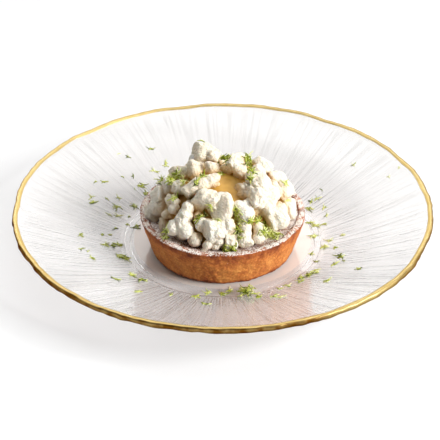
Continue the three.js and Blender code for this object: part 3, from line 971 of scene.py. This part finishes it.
def fill_lumps():
    """The fill lumps, each kept only where there is room beside those before it and the gaps."""
    draws = seeded(FILL_SEED)
    taken = [(mound_place(lump.around, lump.up, lump.reach), mean_size(lump)) for lump in FRONT_LUMPS]
    taken += [(mound_place(around, up), 2 * radius) for around, up, radius in CREAM_GAPS]
    lumps = []
    for i in range(FILL_TRIES):
        around, up = golden_place(i, FILL_TRIES)
        middle = mound_place(around, up, FILL_REACH)
        rooms = [2 * (middle - other).length / FILL_CLOSENESS - size for other, size in taken]
        size = min(FILL_MOST * between(draws, *FILL_SIZES), *rooms)
        if size < FILL_LEAST:
            continue
        stretch = between(draws, *FILL_STRETCH)
        turn = between(draws, *FILL_TURN)
        lumps.append(Lump(around, up, size * stretch, size / stretch, "", turn, FILL_REACH))
        taken.append((middle, size))
    return lumps


def reach_of_ball(direction, centre, radius):
    """Where a ray from the lump's middle leaves a ball, or 0 where it misses the ball."""
    along = direction.dot(centre)
    inside = along * along + radius * radius - centre.length_squared
    return along + math.sqrt(inside) if inside > 0 else 0


def reach_of_lump(direction, balls, breaks):
    """How far a lump reaches: balls run together, with flat broken faces whose edges are softened."""
    reaches = [math.exp(JOIN_SHARP * reach_of_ball(direction, *ball)) for ball in balls]
    joined = math.log(sum(reaches)) / JOIN_SHARP
    least_lean = 0.001
    furthest = 3
    cuts = [joined] + [depth / max(direction.dot(normal), least_lean) for normal, depth in breaks]
    return -math.log(sum(math.exp(-BREAK_SHARP * min(cut, furthest)) for cut in cuts)) / BREAK_SHARP


def lump_shape(seed, form):
    """The balls and broken faces of one lump: its form or the solid's own, with knobs and chips."""
    draws = seeded(seed)
    balls = []
    for _ in range(LUMP_LOBES):
        centre = random_direction(draws) * between(draws, *LOBE_REACH)
        balls.append((centre, between(draws, *LOBE_RADIUS)))
    breaks = []
    for _ in range(LUMP_BREAKS):
        normal = random_direction(draws)
        breaks.append((normal, between(draws, *BREAK_DEPTH)))
    knob_count, chip_count, chip_depth = LUMP_KNOBS, LUMP_CHIPS, LUMP_CHIP_DEPTH
    if form:
        balls = [(Vector((x, y, z)), radius) for x, y, z, radius in LUMP_FORMS[form][0]]
        breaks = [(Vector((x, y, z)).normalized(), depth) for x, y, z, depth in LUMP_FORMS[form][1]]
        knob_count, chip_count, chip_depth = FORM_KNOBS, FORM_CHIPS, FORM_CHIP_DEPTH
    knobs = []
    for _ in range(knob_count):
        way = random_direction(draws)
        centre = way * (reach_of_lump(way, balls, breaks) - KNOB_SINK)
        knobs.append((centre, between(draws, *KNOB_RADIUS)))
    chips = []
    for _ in range(chip_count):
        way = random_direction(draws)
        furthest = max(centre.dot(way) + radius for centre, radius in balls)
        chips.append((way, furthest * between(draws, *chip_depth)))
    return balls + knobs, breaks + chips, next(draws)


def add_lump(bm, lump, seed, layers, cuts):
    """One lump in its place: its width lies level, its height up the mound and its depth into it."""
    balls, breaks, shade = lump_shape(seed, lump.form)
    tone, deep_shade = layers
    size = mean_size(lump)
    ball = bmesh.ops.create_icosphere(bm, subdivisions=cuts, radius=1)["verts"]
    for vert in ball:
        direction = vert.co.normalized()
        vert.co = direction * reach_of_lump(direction, balls, breaks)
    low = Vector([min(vert.co[i] for vert in ball) for i in range(3)])
    high = Vector([max(vert.co[i] for vert in ball) for i in range(3)])
    box = high - low
    grow = Vector((lump.width / box.x, LUMP_DEPTH_SHARE * size / box.y, lump.height / box.z))
    share = mound_direction(lump.around, lump.up) * lump.reach
    inward = -Vector([share[i] / MOUND_SIZE[i] for i in range(3)]).normalized()
    level = Vector((-share.y, share.x, 0)).normalized()
    uphill = level.cross(inward)
    if lump.form:
        level, inward, uphill = CAMERA_RIGHT, CAMERA_AWAY, CAMERA_UP
    turn = Matrix.Rotation(-math.radians(lump.turn), 3, "Y")
    basis = Matrix((level, inward, uphill)).transposed() @ turn
    middle = scaled(share, MOUND_SIZE)
    rough = (FORM_ROUGH if lump.form else 1) * (1 + LARGE_ROUGH * ease(size, *LARGE_LUMP))
    offset = Vector((seed * NOISE_STEP, 0, 0))
    for vert in ball:
        local = scaled(vert.co - (low + high) / 2, grow)
        bumps = sum(deep * noise.noise(local / apart + offset) for deep, apart in LUMP_BUMPS)
        crossing = abs(noise.noise(local / CREASE_APART - offset))
        crease = CREASE_DEPTH * clamp(1 - crossing / CREASE_WIDTH)
        local += local.normalized() * rough * (bumps - crease)
        place = basis @ local + middle
        # How far in the vertex lies sets its painted warm shade.
        depth = Vector([place[i] / MOUND_SIZE[i] for i in range(3)]).length
        vert[deep_shade] = ease(depth, *DEEP_SHADE_DEPTH)
        vert[tone] = shade
        vert.co = place


def fit_in_case(bm):
    """Keeps the heap above the filling and, up to the rim, inside the case."""
    mouth = wall_radius(HEAP_BASE - TART_BASE) - CRUST_WALL - HEAP_GAP
    rim = TART_RIM - HEAP_BASE + RIM_CLEAR
    for vert in bm.verts:
        vert.co.z = max(vert.co.z, -LUMP_SINK)
        radius = vert.co.xy.length
        if vert.co.z < rim and radius > mouth:
            widen(vert, mouth / radius)


def crumb_lumps():
    """The crumbs that lie in the gaps between the lumps, clear of where the cream shows."""
    draws = seeded(CRUMB_PLACES_SEED)
    gaps = [(mound_direction(around, up), radius / MOUND_SIZE.x) for around, up, radius in CREAM_GAPS]
    lumps = []
    for i in range(CRUMBS):
        around, up = golden_place(i, CRUMBS)
        around += between(draws, *CRUMB_STRAY)
        size = between(draws, *CRUMB_SIZES)
        stretch = between(draws, *CRUMB_STRETCH)
        turn = between(draws, *CRUMB_TURN)
        reach = between(draws, *CRUMB_REACH)
        if all((mound_direction(around, up) - gap).length > radius for gap, radius in gaps):
            lumps.append(Lump(around, up, size * stretch, size / stretch, "", turn, reach))
    return lumps


def add_heap_piece(name, lumps, first_seed, cuts, material):
    """A piece of the heap, made of these lumps, and a tree of its surface."""
    bm = bmesh.new()
    layers = [bm.verts.layers.float.new("tone"), bm.verts.layers.float.new("deep_shade")]
    for i, lump in enumerate(lumps):
        fine = lump.form and mean_size(lump) > FINE_LUMP
        add_lump(bm, lump, first_seed + i, layers, cuts + 1 if fine else cuts)
    fit_in_case(bm)
    bmesh.ops.translate(bm, vec=MOUND_MIDDLE, verts=bm.verts)
    tree = BVHTree.FromBMesh(bm)
    return finished(name, bm, material), tree


def swollen(lump):
    """A lump a little larger than its solid, whose facets cut its corners."""
    return lump._replace(width=lump.width * LUMP_SWELL, height=lump.height * LUMP_SWELL)


def make_cream():
    """The mound of cream under the lumps, cut flat where it stands in the filling."""
    bm = bmesh.new()
    bmesh.ops.create_uvsphere(bm, u_segments=CREAM_SEGMENTS, v_segments=CREAM_RINGS, radius=CREAM_SHARE)
    bmesh.ops.scale(bm, vec=MOUND_SIZE, verts=bm.verts)
    whole = bm.verts[:] + bm.edges[:] + bm.faces[:]
    foot = (0, 0, -LUMP_SINK)
    bmesh.ops.bisect_plane(bm, geom=whole, plane_co=foot, plane_no=(0, 0, 1), clear_inner=True)
    bmesh.ops.holes_fill(bm, edges=[edge for edge in bm.edges if edge.is_boundary])
    roughen(bm, CREAM_BUMPS)
    bmesh.ops.translate(bm, vec=MOUND_MIDDLE, verts=bm.verts)
    tree = BVHTree.FromBMesh(bm)
    finished("cream_mound", bm, pastry_cream())
    return tree


def make_heap():
    meringue = dried_meringue()
    lumps = [swollen(lump) for lump in FRONT_LUMPS + fill_lumps()]
    heap, heap_tree = add_heap_piece("meringue_lumps", lumps, LUMP_SEED, LUMP_CUTS, meringue)
    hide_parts("heap")
    crumbs = crumb_lumps()
    crumbs_tree = add_heap_piece("meringue_crumbs", crumbs, CRUMB_SEED, CRUMB_CUTS, meringue)[1]
    return [heap_tree, crumbs_tree, make_cream()]


# The zest

def make_zest_bar():
    """A straight bar with cuts along it, from which each shred is bent."""
    bar = bmesh.new()
    bmesh.ops.create_cube(bar, size=1)
    long_edges = [edge for edge in bar.edges if abs(edge.verts[0].co.x - edge.verts[1].co.x) > 0.5]
    bmesh.ops.subdivide_edges(bar, edges=long_edges, cuts=ZEST_CUTS, use_grid_fill=True)
    mesh = bpy.data.meshes.new("zest_bar")
    bar.to_mesh(mesh)
    bar.free()


def add_shred(bm, draws, tone, tuft_shade, point, normal, lift):
    """One grated shred, most often a short one: a ragged, tapering strip, bowed, curled up and twisted."""
    length = ZEST_SHORT + (ZEST_LONG - ZEST_SHORT) * next(draws) ** 2
    bow = between(draws, *ZEST_BOW)
    turn = between(draws, 0, math.pi)
    width = ZEST_WIDTH * between(draws, *ZEST_WIDTHS)
    curl = between(draws, *ZEST_CURL)
    twist = between(draws, *ZEST_TWIST)
    shade = next(draws) + tuft_shade
    first = len(bm.verts)
    bm.from_mesh(bpy.data.meshes["zest_bar"])
    bm.verts.ensure_lookup_table()
    lie = Vector((0, 0, 1)).rotation_difference(normal).to_matrix() @ Matrix.Rotation(turn, 3, "Z")
    for vert in bm.verts[first:]:
        along, aside, rise = vert.co
        rags = noise.noise(Vector((RAGS_ALONG * along, RAGS_ASIDE * aside, RAGS_STEP * shade)))
        taper = (1 + ZEST_RAGGED * rags) * (1 - ZEST_TAPER * along * along)
        section = Matrix.Rotation(twist * along, 2) @ Vector((aside * width * taper, rise * ZEST_THICK))
        x = along * length
        y = section.x + 4 * bow * along * along * length
        z = section.y + curl * along * along * length + ZEST_THICK / 2 + lift
        vert.co = lie @ Vector((x, y, z)) + point
        vert[tone] = clamp(shade + ZEST_SHADING * along)


def first_hit(trees, start, direction):
    """The nearest point that a ray meets on any of the surfaces, and the surface's direction there."""
    hits = [tree.ray_cast(start, direction) for tree in trees]
    hits = [hit for hit in hits if hit[0] is not None]
    return min(hits, key=lambda hit: hit[3])[:2]


def camera_ray(x, y):
    """The direction in which the camera sees a pixel of the photograph."""
    pixel = CAMERA_SENSOR / CAMERA_LENS / PICTURE_PIXELS
    aside = CAMERA_RIGHT * (x - PICTURE_PIXELS / 2) + CAMERA_UP * (PICTURE_PIXELS / 2 - y)
    return (CAMERA_AWAY + aside * pixel).normalized()


def add_tuft(bm, draws, tone, trees, eye, way, count, scatter):
    """A tuft of shreds, laid round the first point that the eye sees that way. It bridges deep gaps."""
    middle, normal = first_hit(trees, eye, way)
    nearest = (middle - eye).length
    shade = between(draws, *TUFT_SHADE)
    count = 1 + round((count - 1) * TUFT_FILL)
    for i in range(count):
        aside = scaled(random_direction(draws), scatter) * math.sqrt(count) * next(draws)
        toward = (middle + aside - eye).normalized()
        point, normal = first_hit(trees, eye, toward)
        reach = (point - eye).length
        if reach > nearest + TUFT_DEPTH:
            point = eye + toward * (nearest + TUFT_DEPTH * next(draws))
            normal = (normal - toward).normalized()
        add_shred(bm, draws, tone, shade, point, normal, TUFT_FLUFF * i)


def make_zest(trees):
    make_zest_bar()
    bm = bmesh.new()
    tone = bm.verts.layers.float.new("tone")
    for i, (x, y, count) in enumerate(TUFTS_ON_HEAP + TUFTS_ON_PLATE):
        scatter = HEAP_SCATTER if i < len(TUFTS_ON_HEAP) else PLATE_SCATTER
        way = camera_ray(x, y)
        add_tuft(bm, seeded(TUFT_SEED + i), tone, trees, CAMERA_PLACE, way, count, scatter)
    for i, (around, up, count) in enumerate(TUFTS_BEHIND):
        way = mound_direction(around, up)
        eye = MOUND_MIDDLE + way * PLATE_RADIUS
        add_tuft(bm, seeded(BEHIND_SEED + i), tone, trees, eye, -way, count, HEAP_SCATTER)
    finished("zest_shreds", bm, lime_zest())


# The studio

def make_floor():
    bm = bmesh.new()
    bmesh.ops.create_grid(bm, x_segments=1, y_segments=1, size=FLOOR_HALF)
    mesh = bpy.data.meshes.new("floor")
    bm.to_mesh(mesh)
    bm.free()
    mesh.materials.append(pale_paper())
    for vert in mesh.vertices:
        vert.co.z = -FLOOR_DROP
    floor = bpy.data.objects.new("floor", mesh)
    bpy.context.scene.collection.objects.link(floor)


def add_key_light():
    """A square soft lamp at the front right that faces the tart."""
    lamp = bpy.data.lights.new("key", "AREA")
    lamp.size = KEY_SIZE
    lamp.energy = KEY_POWER
    holder = bpy.data.objects.new("key", lamp)
    holder.location = KEY_PLACE
    holder.rotation_euler = (KEY_AIM - KEY_PLACE).to_track_quat("-Z", "Y").to_euler()
    bpy.context.scene.collection.objects.link(holder)


def light_studio():
    add_key_light()
    world = bpy.data.worlds.new("studio")
    world.use_nodes = True
    tree = world.node_tree
    way = add_node(tree, "TexCoord").outputs["Generated"]
    strength = SKY_DARK
    for lies, begins, full, bright in SKY_LIGHTS:
        lean = add_node(tree, "VectorMath", {0: way, 1: lies}, operation="DOT_PRODUCT").outputs["Value"]
        glow = add_node(tree, "MapRange", {
            "Value": lean,
            "From Min": begins,
            "From Max": full,
            "To Max": bright,
        })
        strength = add_node(tree, "Math", {0: strength, 1: glow}, operation="ADD")
    set_inputs(tree, tree.nodes["Background"], {"Color": linear("#FFFFFF"), "Strength": strength})
    bpy.context.scene.world = world
    bpy.context.scene.view_settings.view_transform = "Standard"


def place_camera():
    camera = bpy.data.cameras.new("camera")
    camera.lens = CAMERA_LENS
    camera.sensor_width = CAMERA_SENSOR
    holder = bpy.data.objects.new("camera", camera)
    holder.location = CAMERA_PLACE * MM
    holder.rotation_euler = (math.pi / 2 - CAMERA_RISE, 0, 0)
    bpy.context.scene.collection.objects.link(holder)
    bpy.context.scene.camera = holder


place_camera()
surfaces = [make_plate(), make_crust(), make_filling()] + make_heap()
make_zest(surfaces)
make_floor()
light_studio()
